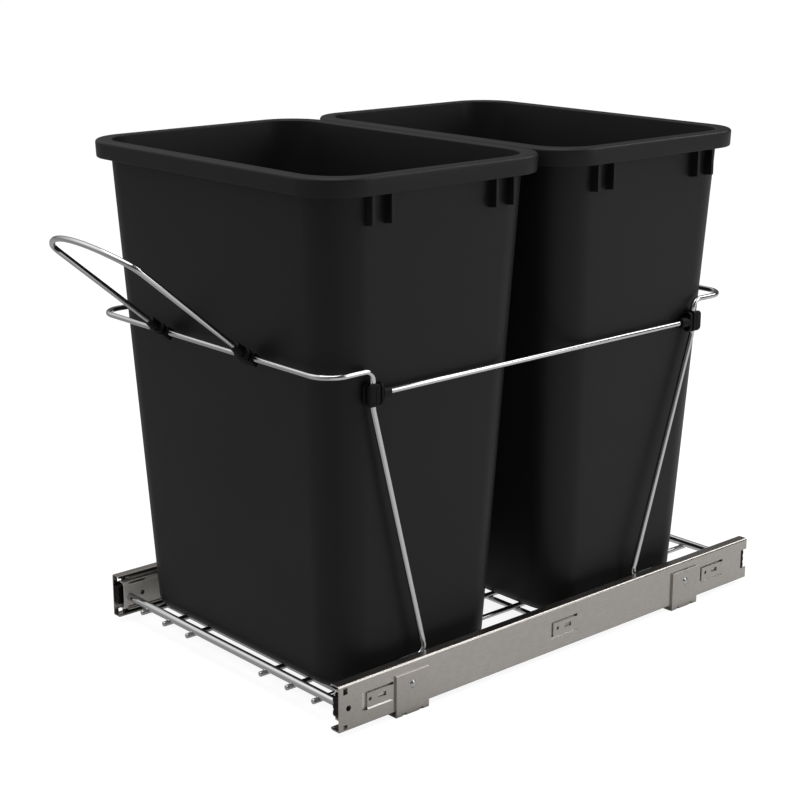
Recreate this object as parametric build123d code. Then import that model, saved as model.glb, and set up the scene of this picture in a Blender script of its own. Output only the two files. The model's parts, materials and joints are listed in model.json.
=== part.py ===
from build123d import *
import os
from math import atan2, copysign, cos, degrees, radians, sin, sqrt

# Frame: X across, Y front to back with the front at -Y, Z up from the cabinet floor.

# Slides
SLIDE_LENGTH = 558.8
SLIDE_HEIGHT = 43.5
SLIDE_FRONT = -270.2
SLIDE_BASE = 5.8
OUTER_FACE = 178.0
SLIDE_MID = SLIDE_BASE + SLIDE_HEIGHT / 2

CABINET_SHEET = 1.2
CABINET_DEPTH = 11.6
CABINET_LIP = 2.3
CABINET_BENDS = (2.5, 0.8, 2.0)
FRONT_NOTCH = (4.7, 9.7)
FRONT_NOTCH_HIGH = (34.2, 40.6)
FRONT_NOTCH_LOW = (1.7, 5.7)
FRONT_HOLE = 5.5
FRONT_HOLE_Y = 10.5
FRONT_HOLE_Z = 20.7

MIDDLE_SHEET = 1.0
MIDDLE_NEAR = 3.1
MIDDLE_FAR = 9.9
MIDDLE_HALF = 17.85
MIDDLE_LIP = 2.0
MIDDLE_BENDS = (1.7, 1.7, 1.7)
MIDDLE_ENDS = (13.0, 549.0)
MIDDLE_SLOTS = (110.0, 215.0, 420.0)
MIDDLE_SLOT_HALF = 8.0
MIDDLE_SLOT_RISE = (18.75, 24.75)

DRAWER_SHEET = 1.0
DRAWER_NEAR = 5.6
DRAWER_FAR = 12.7
DRAWER_HALF = 14.15
DRAWER_BEAD = 10.7
DRAWER_ENDS = (4.9, 556.0)
DRAWER_HOLES = (26.8, 526.0)
DRAWER_HOLE = 5.0
DRAWER_HOLE_Z = 20.5
DRAWER_BEND = 0.9
BEAD_RISE = 1.5
BEAD_SLOT = (11.1, 13.1)
UPPER_SLOT = (12.0, 31.0)
LOWER_SLOT = (9.8, 24.0)

# Ball cages
BALL = 2.4
CAGE_SHEET = 0.5
CAGE_HOLE = 2.3
BALL_PITCH = 24.0
BALLS_PER_ROW = 10
CAGE_LENGTH = 240.0
OUTER_CAGE = (2.3, 9.6, 19.2, 6.5, 155.0)
INNER_CAGE = (4.6, 8.6, 15.5, 7.0, 165.0)

# Lanced windows in the cabinet member, offsets from the slide's front end
WINDOW_STARTS = (26.0, 262.0, 483.0)
WINDOW_LENGTH = 36.0
WINDOW_LOW = 12.7
WINDOW_HIGH = 30.3
WINDOW_SLITS = (6.5, 4.0, 4.0)
BEVEL_LEADS = (6.5, 0.0, 0.0)
TAB_DROP = 1.0
TAB_GAP = 2.7
TAB_BEVEL = 1.1
TAB_RAMP = 4.0
TAB_HOLE = 3.5
TAB_HOLE_Y = 10.0
TAB_SLOT = (19.5, 28.5)
TAB_SLOT_HALF = 2.0
JOIN = 0.5
SMALL_BEND = 0.3

# Rear stop and front bumper
STOP_FRONT = 549.8
STOP_BACK = 554.4
STOP_LOW = 11.8
STOP_HIGH = 31.9
STOP_PLUG = 0.2
STOP_PAD = 4.6
STOP_LAP = 1.6
BUMPER_FRONT = 0.4
BUMPER_HEAD_BACK = 6.5
BUMPER_BACK = 12.0
BUMPER_NEAR = 1.9
BUMPER_HEAD_FAR = 9.2
BUMPER_LOW = -8.4
BUMPER_HIGH = 10.2
WAVE = 0.9
WAVES = 3

# Floor brackets
BRACKET_SHEET = 2.0
BRACKET_HEIGHT = 40.2
BRACKET_WIDTH = 38.7
BRACKET_TOE = 148.0
BRACKET_BEND = 1.1
BRACKET_EDGE = 0.6
NOTCH_SHIFT = 10.0
NOTCH_HALF = 2.2
NOTCH_HIGH = 2.6
SCREW_X = 157.0
SCREW_Y = 186.8
SCREW_HOLE = 5.5
RIVET_Z = 28.0
RIVET_HEAD = 7.8
RIVET_DOME = 1.9
RIVET_SHANK = 4.0
RIVET_HOLE = 4.2
RIVET_TAIL = 6.4
RIVET_TAIL_SHEET = 0.6

# Wire carrier
WIRE = 5.2
ROD = 8.0
WELD = 0.3
ROD_Z = SLIDE_BASE + 19.7
ROD_OFFSETS = (11.7, 549.8)
TRAY_X = (58.2, 97.0, 135.0)
TRAY_Z = ROD_Z - ROD / 2 - WIRE / 2 + WELD
TRAY_TIPS = (4.9, 556.6)
CROSS_Z = TRAY_Z - WIRE + WELD
CROSS_HALF = 143.0
CROSS_OFFSETS = (43.0, 171.5, 300.0, 428.5)

CARRIER_MID = -17.2
RAIL_REACH = 257.5
LEG_REACH = 207.4
FOOT_REACH = 139.8
FOOT_LENGTH = 32.0
TOE_LENGTH = 10.0
RAIL_Z = 320.1
RAIL_HALF = 171.0
KNEE_Z = 286.8
FOOT_X = OUTER_FACE - DRAWER_FAR - WIRE / 2 + 0.2
FOOT_Z = 45.6
TOE_Z = 33.0
SIDE_RAIL_Z = 299.3
HOOP_BENDS = [7.0, 8.0, 20.0, 9.0, 22.0]
END_ROUND = 0.16

# Clips
CLIP_LENGTH = 20.0
CLIP_WIDTH = 10.0
CLIP_BACK = 8.2
CLIP_FRONT = 3.6
CLIP_CORNER = 2.6
CLIP_EDGE = 1.0
CLIP_SLOT = 1.4
NECK_HALF = 4.0
NECK_RISE = 8.0
FLANGE_NEAR = 5.9
FLANGE_SHEET = 3.0
CONE_WIDE = 5.3
CONE_NARROW = 4.4
CLIP_TIP = 18.4
GRIP_BORE = 5.17
TURN_BORE = 5.3
SOCKET_DEPTH = 5.5

# Handle
HANDLE_HALF = 64.6
HANDLE_LEAN = 39.9
HANDLE_APEX = 168.6
HANDLE_ARC = 90.0
HANDLE_BEND = 18.0

# Bins
BIN_PITCH = 268.3
BIN_BOTTOM = TRAY_Z + WIRE / 2 + 0.3
BIN_TOP = 485.0
BIN_WALL = 2.4
BIN_WIDTH = 301.2
BIN_DEPTH = 193.6
BIN_CORNER = 35.0
BIN_REF_Z = 25.8
WIDTH_GAIN = 0.1047
DEPTH_GAIN = 0.1005
CORNER_GAIN = 0.0113
BIN_FOOT_RADIUS = 13.0
RIM_WIDTH = 370.6
RIM_DEPTH = 262.4
RIM_CORNER = 45.0
RIM_LOW = 468.8
RIM_DRAFT = 1.4
RIM_TOP_WALL = 2.6
RIM_ROUND = 3.0
RIB_Y = (59.5, 80.3)
RIB_SHEET = 3.0
RIB_LOW = 442.8
RIB_RISE = 1.2
RIB_EDGE = 181.4


def block(x0, x1, y0, y1, z0, z1):
    """Box between two corners."""
    middle = Pos((x0 + x1) / 2, (y0 + y1) / 2, (z0 + z1) / 2)
    return middle * Box(abs(x1 - x0), abs(y1 - y0), abs(z1 - z0))


def slide_block(u0, u1, y0, y1, z0, z1):
    """Box in slide terms: depth from the outer face, offset from the front, height from the base."""
    return block(
        OUTER_FACE - u1,
        OUTER_FACE - u0,
        SLIDE_FRONT + y0,
        SLIDE_FRONT + y1,
        SLIDE_BASE + z0,
        SLIDE_BASE + z1,
    )


def pin_x(x0, x1, y, z, diameter):
    """Cylinder along X."""
    return Pos((x0 + x1) / 2, y, z) * Rot(0, 90, 0) * Cylinder(diameter / 2, abs(x1 - x0))


def slide_pin(u0, u1, y, z, diameter):
    """Cylinder along X in slide terms."""
    return pin_x(OUTER_FACE - u0, OUTER_FACE - u1, SLIDE_FRONT + y, SLIDE_BASE + z, diameter)


def along_slide(section, y0, y1):
    """Section drawn in X and Z, run from one offset to another."""
    return Pos(0, SLIDE_FRONT + y1, 0) * extrude(Plane.XZ * section, y1 - y0)


def slide_face(points):
    """Closed section from depth and height pairs about the slide's mid height."""
    placed = [(OUTER_FACE - u, SLIDE_MID + w) for u, w in points]
    return make_face(Polyline(*placed, close=True))


def rolled(near, far, half, bends):
    """Box section between two depths, with bends for upper web, lower web and lip corners."""
    web = OUTER_FACE - near
    lip = OUTER_FACE - far
    section = Pos((web + lip) / 2, SLIDE_MID) * Rectangle(far - near, 2 * half)
    upper, lower, returned = bends
    corners = [(web, half, upper), (web, -half, lower), (lip, half, returned), (lip, -half, returned)]
    for x, rise, radius in corners:
        corner = section.vertices().sort_by_distance((x, SLIDE_MID + rise, 0))[0]
        section = fillet(corner, radius)
    return section


def lipped_channel(near, far, half, sheet, lip, bends):
    """Channel with its web at the near depth and returned lips at the far depth."""
    outer = rolled(near, far, half, bends)
    tight = [max(bend - sheet, SMALL_BEND) for bend in bends]
    inner = rolled(near + sheet, far - sheet, half - sheet, tight)
    mouth = Pos(OUTER_FACE - far + sheet / 2, SLIDE_MID) * Rectangle(sheet + 1, 2 * (half - lip))
    return outer - inner - mouth


def window_cut(start):
    """Opening of one lanced window."""
    return slide_block(-1, 1.7, start, start + WINDOW_LENGTH, WINDOW_LOW, WINDOW_HIGH)


def window_tab(start, slit):
    """Tongue of one lanced window, set inward and joined to the web at its rear end."""
    back = start + WINDOW_LENGTH
    points = [
        (start + slit, TAB_DROP),
        (back - TAB_RAMP, TAB_DROP),
        (back, 0),
        (back + JOIN, 0),
        (back + JOIN, CABINET_SHEET),
        (back, CABINET_SHEET),
        (back - TAB_RAMP, TAB_DROP + CABINET_SHEET),
        (start + slit, TAB_DROP + CABINET_SHEET),
    ]
    placed = [(OUTER_FACE - u, SLIDE_FRONT + y) for y, u in points]
    profile = make_face(Polyline(*placed, close=True))
    low = WINDOW_LOW + TAB_BEVEL
    height = WINDOW_HIGH - TAB_GAP - low
    tab = Pos(0, 0, SLIDE_BASE + low) * extrude(profile, height)
    middle = (WINDOW_LOW + WINDOW_HIGH) / 2
    tab -= slide_pin(-1, 4, start + TAB_HOLE_Y, middle, TAB_HOLE)
    slot = [start + y for y in TAB_SLOT]
    return tab - slide_block(-1, 4, *slot, middle - TAB_SLOT_HALF, middle + TAB_SLOT_HALF)


def window_bevel(start, lead):
    """Sloping strip that turns in from the window's lower edge to its tongue."""
    low = WINDOW_LOW - SLIDE_HEIGHT / 2
    high = low + TAB_BEVEL
    outside = [(0, low - JOIN), (0, low), (TAB_DROP, high), (TAB_DROP, high + JOIN)]
    inside = [(u + CABINET_SHEET, w) for u, w in reversed(outside)]
    section = slide_face(outside + inside)
    return along_slide(section, start + lead, start + WINDOW_LENGTH)


def cabinet_member():
    """Right outer channel of the slide."""
    half = SLIDE_HEIGHT / 2
    section = lipped_channel(0, CABINET_DEPTH, half, CABINET_SHEET, CABINET_LIP, CABINET_BENDS)
    body = along_slide(section, 0, SLIDE_LENGTH)
    for start, slit, lead in zip(WINDOW_STARTS, WINDOW_SLITS, BEVEL_LEADS):
        body -= window_cut(start)
        body += window_tab(start, slit)
        body += window_bevel(start, lead)
    body -= slide_block(-1, 1.7, *FRONT_NOTCH, *FRONT_NOTCH_HIGH)
    body -= slide_block(-1, 1.7, *FRONT_NOTCH, *FRONT_NOTCH_LOW)
    body -= slide_pin(-1, 1.7, FRONT_HOLE_Y, FRONT_HOLE_Z, FRONT_HOLE)
    body -= slide_block(-1, 1.7, STOP_FRONT, SLIDE_LENGTH + 1, STOP_LOW, STOP_HIGH)
    for y in (-SCREW_Y, SCREW_Y):
        body -= pin_x(OUTER_FACE + 1, OUTER_FACE - 1.7, y, RIVET_Z, RIVET_HOLE)
    return body


def middle_member():
    """Right intermediate channel of the slide."""
    ends = (MIDDLE_NEAR, MIDDLE_FAR)
    section = lipped_channel(*ends, MIDDLE_HALF, MIDDLE_SHEET, MIDDLE_LIP, MIDDLE_BENDS)
    body = along_slide(section, *MIDDLE_ENDS)
    for y in MIDDLE_SLOTS:
        slot = (y - MIDDLE_SLOT_HALF, y + MIDDLE_SLOT_HALF)
        body -= slide_block(2, 5, *slot, *MIDDLE_SLOT_RISE)
    return body


def drawer_section():
    """Beaded channel section, open towards the outer face."""
    sheet = DRAWER_SHEET
    half = DRAWER_HALF
    bead = DRAWER_BEAD
    far = DRAWER_FAR
    upper = [
        (DRAWER_NEAR, half),
        (far - sheet, half),
        (far - sheet, bead + BEAD_RISE),
        (far, bead),
    ]
    back = [
        (far - sheet, bead - 0.3),
        (far - 2 * sheet, bead + BEAD_RISE - 0.3),
        (far - 2 * sheet, half - sheet),
        (DRAWER_NEAR, half - sheet),
    ]
    outside = upper + [(u, -w) for u, w in reversed(upper)]
    inside = [(u, -w) for u, w in reversed(back)] + back
    section = slide_face(outside + inside)
    corner_x = OUTER_FACE - far + sheet
    corners = [v for v in section.vertices() if abs(v.X - corner_x) < 0.01]
    corners = [v for v in corners if abs(abs(v.Y - SLIDE_MID) - half) < 0.01]
    return fillet(corners, DRAWER_BEND)


def drawer_member():
    """Right inner channel of the slide."""
    body = along_slide(drawer_section(), *DRAWER_ENDS)
    mid = SLIDE_HEIGHT / 2
    near, far = BEAD_SLOT
    body -= slide_block(9, 13.5, *UPPER_SLOT, mid + near, mid + far)
    body -= slide_block(9, 13.5, *LOWER_SLOT, mid - far, mid - near)
    for offset in DRAWER_HOLES:
        body -= slide_pin(9, 13.5, offset, DRAWER_HOLE_Z, DRAWER_HOLE)
    for offset in ROD_OFFSETS:
        body -= slide_pin(9, 13.5, offset, ROD_Z - SLIDE_BASE, ROD - 0.1)
    return body


def wavy_block(near, far, flat, crest, low, high):
    """Block in slide terms with shallow waves along the end at its crest offset."""
    valley = crest + copysign(WAVE, flat - crest)
    step = (high - low) / WAVES
    corners = [(valley, low + step * count) for count in range(WAVES + 1)]
    peaks = [(crest, low + step * (count + 0.5)) for count in range(WAVES)]
    waves = [ThreePointArc(*three) for three in zip(corners, peaks, corners[1:])]
    rest = Polyline(corners[-1], (flat, high), (flat, low), corners[0])
    face = make_face(Wire([*waves, *rest.edges()]))
    return Pos(OUTER_FACE - far, SLIDE_FRONT, SLIDE_BASE) * extrude(Plane.YZ * face, far - near)


def rear_stop():
    """Right plastic stop seated in the rear notch of the cabinet member."""
    plug = wavy_block(STOP_PLUG, CABINET_SHEET, STOP_FRONT, STOP_BACK, STOP_LOW, STOP_HIGH)
    ends = (STOP_FRONT, STOP_BACK - WAVE)
    pad = slide_block(CABINET_SHEET, STOP_PAD, *ends, STOP_LOW - STOP_LAP, STOP_HIGH + STOP_LAP)
    return plug + pad


def front_bumper():
    """Right plastic bumper: wavy head in front, body held in the drawer member."""
    mid = SLIDE_HEIGHT / 2
    rise = (mid + BUMPER_LOW, mid + BUMPER_HIGH)
    head = wavy_block(BUMPER_NEAR, BUMPER_HEAD_FAR, BUMPER_HEAD_BACK, BUMPER_FRONT, *rise)
    far = DRAWER_FAR - DRAWER_SHEET
    return head + slide_block(BUMPER_NEAR, far, BUMPER_HEAD_BACK - JOIN, BUMPER_BACK, *rise)


def bracket():
    """Right front floor bracket: upright plate outside the slide, toe turned in under it."""
    face = OUTER_FACE + BRACKET_SHEET
    points = [
        (OUTER_FACE, BRACKET_HEIGHT),
        (face, BRACKET_HEIGHT),
        (face, 0),
        (BRACKET_TOE, 0),
        (BRACKET_TOE, BRACKET_SHEET),
        (OUTER_FACE, BRACKET_SHEET),
    ]
    section = make_face(Polyline(*points, close=True))
    for height, radius in ((0, BRACKET_BEND), (BRACKET_HEIGHT, BRACKET_EDGE)):
        corner = section.vertices().sort_by_distance((face, height, 0))[0]
        section = fillet(corner, radius)
    half = BRACKET_WIDTH / 2
    body = Pos(0, half - SCREW_Y, 0) * extrude(Plane.XZ * section, BRACKET_WIDTH)
    body -= Pos(SCREW_X, -SCREW_Y, 0) * Cylinder(SCREW_HOLE / 2, 20)
    body -= pin_x(OUTER_FACE - 1, face + 1, -SCREW_Y, RIVET_Z, RIVET_HOLE)
    for shift in (-NOTCH_SHIFT, NOTCH_SHIFT):
        front = shift - SCREW_Y - NOTCH_HALF
        body -= block(OUTER_FACE + 0.4, face + 1, front, front + 2 * NOTCH_HALF, -1, NOTCH_HIGH)
    return body


def rivet():
    """Rivet of the right front bracket: domed head outside, thin head inside."""
    face = OUTER_FACE + BRACKET_SHEET
    crown = face + RIVET_DOME
    inside = OUTER_FACE - CABINET_SHEET
    tip = inside - RIVET_TAIL_SHEET
    edge = (face, RIVET_HEAD / 2)
    shank = RIVET_SHANK / 2
    tail = RIVET_TAIL / 2
    steps = Polyline((crown, 0), (tip, 0), (tip, tail), (inside, tail), (inside, shank), (face, shank), edge)
    dome = TangentArc((crown, 0), edge, tangent=(0, 1))
    profile = make_face(Wire([*steps.edges(), dome]))
    return Pos(0, -SCREW_Y, RIVET_Z) * revolve(profile, Axis.X)


def ball_rows(cage):
    """Centres of both rows of balls of a cage."""
    near, far, row, depth, start = cage
    first = SLIDE_FRONT + start + (CAGE_LENGTH - (BALLS_PER_ROW - 1) * BALL_PITCH) / 2
    x = OUTER_FACE - depth
    return [
        Pos(x, first + step * BALL_PITCH, SLIDE_MID + side * row)
        for side in (-1, 1)
        for step in range(BALLS_PER_ROW)
    ]


def ball_cage(cage):
    """Right ball cage: thin channel with a hole for every ball."""
    near, far, row, depth, start = cage
    half = row + CAGE_SHEET / 2
    low = half - CAGE_SHEET
    points = [(near, half), (far, half), (far, low), (near + CAGE_SHEET, low)]
    points += [(u, -w) for u, w in reversed(points)]
    body = along_slide(slide_face(points), start, start + CAGE_LENGTH)
    holes = [place * Cylinder(CAGE_HOLE / 2, 3) for place in ball_rows(cage)]
    return body - holes


def balls(cage):
    """All balls of a right cage."""
    return Compound(children=[place * Sphere(BALL / 2) for place in ball_rows(cage)])


def straight_wire(start, end, diameter):
    """Straight wire with broken edges at its ends."""
    path = Line(start, end)
    body = sweep(Plane(origin=path @ 0, z_dir=path % 0) * Circle(diameter / 2), path=path)
    return fillet(body.edges().filter_by(GeomType.CIRCLE), END_ROUND * diameter)


def bent_wire(path):
    """Wire of the common size along a path."""
    return sweep(Plane(origin=path @ 0, z_dir=path % 0) * Circle(WIRE / 2), path=path)


def cross_rod(offset):
    """Heavy rod between the drawer members."""
    half = OUTER_FACE - DRAWER_FAR + DRAWER_SHEET
    y = SLIDE_FRONT + offset
    return pin_x(-half, half, y, ROD_Z, ROD)


def tray_wire(x):
    """Front to back wire of the tray."""
    ends = [(x, SLIDE_FRONT + tip, TRAY_Z) for tip in TRAY_TIPS]
    return straight_wire(*ends, WIRE)


def cross_wire(offset):
    """Wire across the tray, under the long wires."""
    y = SLIDE_FRONT + offset
    return straight_wire((-CROSS_HALF, y, CROSS_Z), (CROSS_HALF, y, CROSS_Z), WIRE)


def hoop(side):
    """End hoop of the carrier: rail, returns, legs and feet in one wire."""
    rail_y = CARRIER_MID + side * RAIL_REACH
    leg_y = CARRIER_MID + side * LEG_REACH
    foot_y = CARRIER_MID + side * FOOT_REACH
    right = [
        (FOOT_X, foot_y + side * (FOOT_LENGTH + TOE_LENGTH), TOE_Z),
        (FOOT_X, foot_y + side * FOOT_LENGTH, FOOT_Z),
        (FOOT_X, foot_y, FOOT_Z),
        (RAIL_HALF, leg_y, KNEE_Z),
        (RAIL_HALF, leg_y, RAIL_Z),
        (RAIL_HALF, rail_y, RAIL_Z),
    ]
    left = [(-x, y, z) for x, y, z in reversed(right)]
    path = FilletPolyline(*right, *left, radius=HOOP_BENDS + HOOP_BENDS[::-1])
    return bent_wire(path)


def side_rail():
    """Right rail between the clips of the two hoops."""
    reach = LEG_REACH - SOCKET_DEPTH
    start = (RAIL_HALF, CARRIER_MID - reach, SIDE_RAIL_Z)
    end = (RAIL_HALF, CARRIER_MID + reach, SIDE_RAIL_Z)
    return straight_wire(start, end, WIRE)


def clip(bore):
    """Snap clip: gripped wire along Z, socket along +X."""
    jaw = extrude(RectangleRounded(CLIP_BACK + CLIP_FRONT, CLIP_WIDTH, CLIP_CORNER), CLIP_LENGTH)
    jaw = Pos((CLIP_FRONT - CLIP_BACK) / 2, 0, -CLIP_LENGTH / 2) * jaw
    ends = jaw.edges().group_by(Axis.Z)
    jaw = fillet(ends[0] + ends[-1], CLIP_EDGE)
    neck_end = FLANGE_NEAR + FLANGE_SHEET / 2
    neck = block(CLIP_FRONT - 1, neck_end, -NECK_HALF, NECK_HALF, -NECK_RISE, NECK_RISE)
    plate = Plane.YZ * SlotOverall(CLIP_LENGTH, CLIP_WIDTH, rotation=90)
    flange = Pos(FLANGE_NEAR, 0, 0) * extrude(plate, FLANGE_SHEET)
    cone_start = FLANGE_NEAR + FLANGE_SHEET
    cone = Rot(0, 90, 0) * Cone(CONE_WIDE, CONE_NARROW, CLIP_TIP - cone_start)
    cone = Pos((cone_start + CLIP_TIP) / 2, 0, 0) * cone
    body = jaw + neck + flange + cone
    body -= Cylinder(bore / 2, CLIP_LENGTH + 4)
    slot = CLIP_SLOT / 2
    body -= block(-CLIP_BACK - 1, 0, -slot, slot, -CLIP_LENGTH, CLIP_LENGTH)
    body -= pin_x(SOCKET_DEPTH - 0.3, CLIP_TIP + 1, 0, 0, GRIP_BORE)
    return body


def leg_clip(side):
    """Clip on a right leg, socket towards the side rail."""
    origin = (RAIL_HALF, CARRIER_MID + side * LEG_REACH, SIDE_RAIL_Z)
    place = Plane(origin=origin, x_dir=(0, -side, 0), z_dir=(0, 0, 1))
    return place.location * clip(GRIP_BORE)


def handle_reach():
    """Direction of the handle away from the front rail."""
    lean = radians(HANDLE_LEAN)
    return (0, -cos(lean), sin(lean))


def handle_clip():
    """Right clip that turns on the front rail and holds the handle."""
    origin = (HANDLE_HALF, CARRIER_MID - RAIL_REACH, RAIL_Z)
    place = Plane(origin=origin, x_dir=handle_reach(), z_dir=(1, 0, 0))
    return place.location * clip(TURN_BORE)


def handle_path():
    """Flat outline of the handle: X across, Y away from the rail."""
    centre = HANDLE_APEX - HANDLE_ARC
    bend_x = HANDLE_HALF - HANDLE_BEND
    bend_y = centre + sqrt((HANDLE_ARC - HANDLE_BEND) ** 2 - bend_x**2)
    turn = degrees(atan2(bend_y - centre, bend_x))
    right = Line((HANDLE_HALF, SOCKET_DEPTH), (HANDLE_HALF, bend_y))
    right_bend = CenterArc((bend_x, bend_y), HANDLE_BEND, 0, turn)
    bow = CenterArc((0, centre), HANDLE_ARC, turn, 180 - 2 * turn)
    left_bend = CenterArc((-bend_x, bend_y), HANDLE_BEND, 180 - turn, turn)
    left = Line((-HANDLE_HALF, bend_y), (-HANDLE_HALF, SOCKET_DEPTH))
    return Wire([right, right_bend, bow, left_bend, left])


def handle_loop():
    """Bent wire handle."""
    lean = radians(HANDLE_LEAN)
    origin = (0, CARRIER_MID - RAIL_REACH, RAIL_Z)
    place = Plane(origin=origin, x_dir=(1, 0, 0), z_dir=(0, -sin(lean), -cos(lean)))
    return bent_wire(place.location * handle_path())


def bin_slab(z, inset):
    """Level section of the bin body, reduced all round by an inset."""
    rise = z - BIN_REF_Z
    width = BIN_WIDTH + WIDTH_GAIN * rise - 2 * inset
    depth = BIN_DEPTH + DEPTH_GAIN * rise - 2 * inset
    corner = BIN_CORNER + CORNER_GAIN * rise - inset
    return Pos(0, 0, z) * RectangleRounded(width, depth, corner)


def bin_body(low, high, inset, foot):
    """Tapered body between two heights with a rounded foot."""
    body = loft([bin_slab(low, inset), bin_slab(high, inset)], ruled=True)
    return fillet(body.faces().sort_by(Axis.Z)[0].edges(), foot)


def rim_slab(z, inset):
    """Level section of the rim, reduced all round by an inset."""
    drop = RIM_DRAFT * (BIN_TOP - z) / (BIN_TOP - RIM_LOW)
    width = RIM_WIDTH - drop - 2 * inset
    depth = RIM_DEPTH - drop - 2 * inset
    return Pos(0, 0, z) * RectangleRounded(width, depth, RIM_CORNER - drop / 2 - inset)


def bin_rim():
    """Turned-down rim."""
    outer = loft([rim_slab(RIM_LOW, 0), rim_slab(BIN_TOP, 0)], ruled=True)
    outer = fillet(outer.faces().sort_by(Axis.Z)[-1].edges(), RIM_ROUND)
    low = RIM_LOW - 1
    high = BIN_TOP - RIM_TOP_WALL
    return outer - loft([rim_slab(low, BIN_WALL), rim_slab(high, BIN_WALL)], ruled=True)


def bin_rib():
    """One gusset under the rim on the right face, centred on Y = 0."""
    top = BIN_TOP - RIM_TOP_WALL / 2
    foot_x, top_x = [
        (BIN_WIDTH + WIDTH_GAIN * (z - BIN_REF_Z) - BIN_WALL) / 2 for z in (RIB_LOW, top)
    ]
    points = [(foot_x, RIB_LOW), (RIB_EDGE, RIB_LOW + RIB_RISE), (RIB_EDGE, top), (top_x, top)]
    face = make_face(Polyline(*points, close=True))
    return Pos(0, RIB_SHEET / 2, 0) * extrude(Plane.XZ * face, RIB_SHEET)


def bin_part(side):
    """Complete bin."""
    shell = bin_body(BIN_BOTTOM, BIN_TOP, 0, BIN_FOOT_RADIUS) + bin_rim()
    rib = bin_rib()
    for y in RIB_Y:
        for sign in (-1, 1):
            placed = Pos(0, sign * y, 0) * rib
            shell += placed
            shell += mirror(placed, about=Plane.YZ)
    foot = BIN_FOOT_RADIUS - BIN_WALL
    shell -= bin_body(BIN_BOTTOM + BIN_WALL, BIN_TOP + 2, BIN_WALL, foot)
    return Pos(0, CARRIER_MID + side * BIN_PITCH / 2, 0) * shell


def left_of(part):
    """The left-hand copy of a right-hand piece."""
    return mirror(part, about=Plane.YZ)


def all_rivets():
    """The four bracket rivets as one group."""
    front = rivet()
    rear = Pos(0, 2 * SCREW_Y, 0) * front
    right = [front, rear]
    solids = [part.solid() for part in right + [left_of(part) for part in right]]
    return Compound(children=solids)


def paired(nodes, name, part):
    """Add a piece and its left-hand copy."""
    nodes["right_" + name] = part
    nodes["left_" + name] = left_of(part)


def slide_nodes(nodes):
    """Pieces of both slides and their brackets."""
    paired(nodes, "cabinet_member", cabinet_member())
    paired(nodes, "middle_member", middle_member())
    paired(nodes, "drawer_member", drawer_member())
    paired(nodes, "outer_cage", ball_cage(OUTER_CAGE))
    paired(nodes, "inner_cage", ball_cage(INNER_CAGE))
    paired(nodes, "outer_balls", balls(OUTER_CAGE))
    paired(nodes, "inner_balls", balls(INNER_CAGE))
    paired(nodes, "rear_stop", rear_stop())
    paired(nodes, "front_bumper", front_bumper())
    front = bracket()
    paired(nodes, "front_bracket", front)
    paired(nodes, "rear_bracket", Pos(0, 2 * SCREW_Y, 0) * front)
    nodes["bracket_rivets"] = all_rivets()


def carrier_nodes(nodes):
    """Pieces of the wire carrier."""
    nodes["front_rod"] = cross_rod(ROD_OFFSETS[0])
    nodes["rear_rod"] = cross_rod(ROD_OFFSETS[1])
    for number, offset in enumerate(CROSS_OFFSETS, 1):
        nodes[f"cross_wire_{number}"] = cross_wire(offset)
    for number, x in enumerate(TRAY_X, 1):
        paired(nodes, f"tray_wire_{number}", tray_wire(x))
    nodes["front_hoop"] = hoop(-1)
    nodes["rear_hoop"] = hoop(1)
    paired(nodes, "side_rail", side_rail())
    paired(nodes, "front_clip", leg_clip(-1))
    paired(nodes, "rear_clip", leg_clip(1))


def loose_nodes(nodes):
    """Handle and bins."""
    nodes["handle_loop"] = handle_loop()
    paired(nodes, "handle_clip", handle_clip())
    nodes["front_bin"] = bin_part(-1)
    nodes["rear_bin"] = bin_part(1)


def build():
    """Make every node and write its file."""
    nodes = {}
    slide_nodes(nodes)
    carrier_nodes(nodes)
    loose_nodes(nodes)
    os.makedirs("parts", exist_ok=True)
    for name, part in nodes.items():
        export_step(part, f"parts/{name}.step")


build()
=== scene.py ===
"""Looks of a pull-out waste-bin unit for a kitchen cabinet.

Black moulded bins stand in a chromed wire carrier, which runs on zinc-plated ball-bearing slides.
Lengths are written in millimetres and turned into metres when a mesh is made.
"""

import json
import logging
import math
from dataclasses import dataclass
from enum import Enum
from typing import Any, Sequence

import bpy
import numpy as np
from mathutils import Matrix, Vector

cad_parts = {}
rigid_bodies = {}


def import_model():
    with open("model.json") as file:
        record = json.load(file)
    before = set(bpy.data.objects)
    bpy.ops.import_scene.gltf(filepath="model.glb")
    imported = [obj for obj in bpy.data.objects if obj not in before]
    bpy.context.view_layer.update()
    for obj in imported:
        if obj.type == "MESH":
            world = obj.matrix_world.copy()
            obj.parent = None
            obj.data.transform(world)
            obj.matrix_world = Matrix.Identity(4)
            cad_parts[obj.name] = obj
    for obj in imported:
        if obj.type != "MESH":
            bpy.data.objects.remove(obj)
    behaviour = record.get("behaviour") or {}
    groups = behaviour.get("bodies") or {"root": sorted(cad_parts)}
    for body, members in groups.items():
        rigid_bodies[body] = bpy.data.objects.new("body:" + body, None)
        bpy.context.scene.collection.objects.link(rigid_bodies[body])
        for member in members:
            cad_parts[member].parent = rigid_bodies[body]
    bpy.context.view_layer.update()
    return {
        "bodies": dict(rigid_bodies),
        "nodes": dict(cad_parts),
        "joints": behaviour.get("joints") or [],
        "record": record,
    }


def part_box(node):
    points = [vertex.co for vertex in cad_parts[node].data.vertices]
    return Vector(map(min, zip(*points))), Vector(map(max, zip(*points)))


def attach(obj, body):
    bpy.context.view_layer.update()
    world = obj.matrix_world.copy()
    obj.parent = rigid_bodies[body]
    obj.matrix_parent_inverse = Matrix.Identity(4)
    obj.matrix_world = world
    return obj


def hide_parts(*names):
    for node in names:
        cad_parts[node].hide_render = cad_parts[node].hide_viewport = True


MM = 0.001
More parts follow.
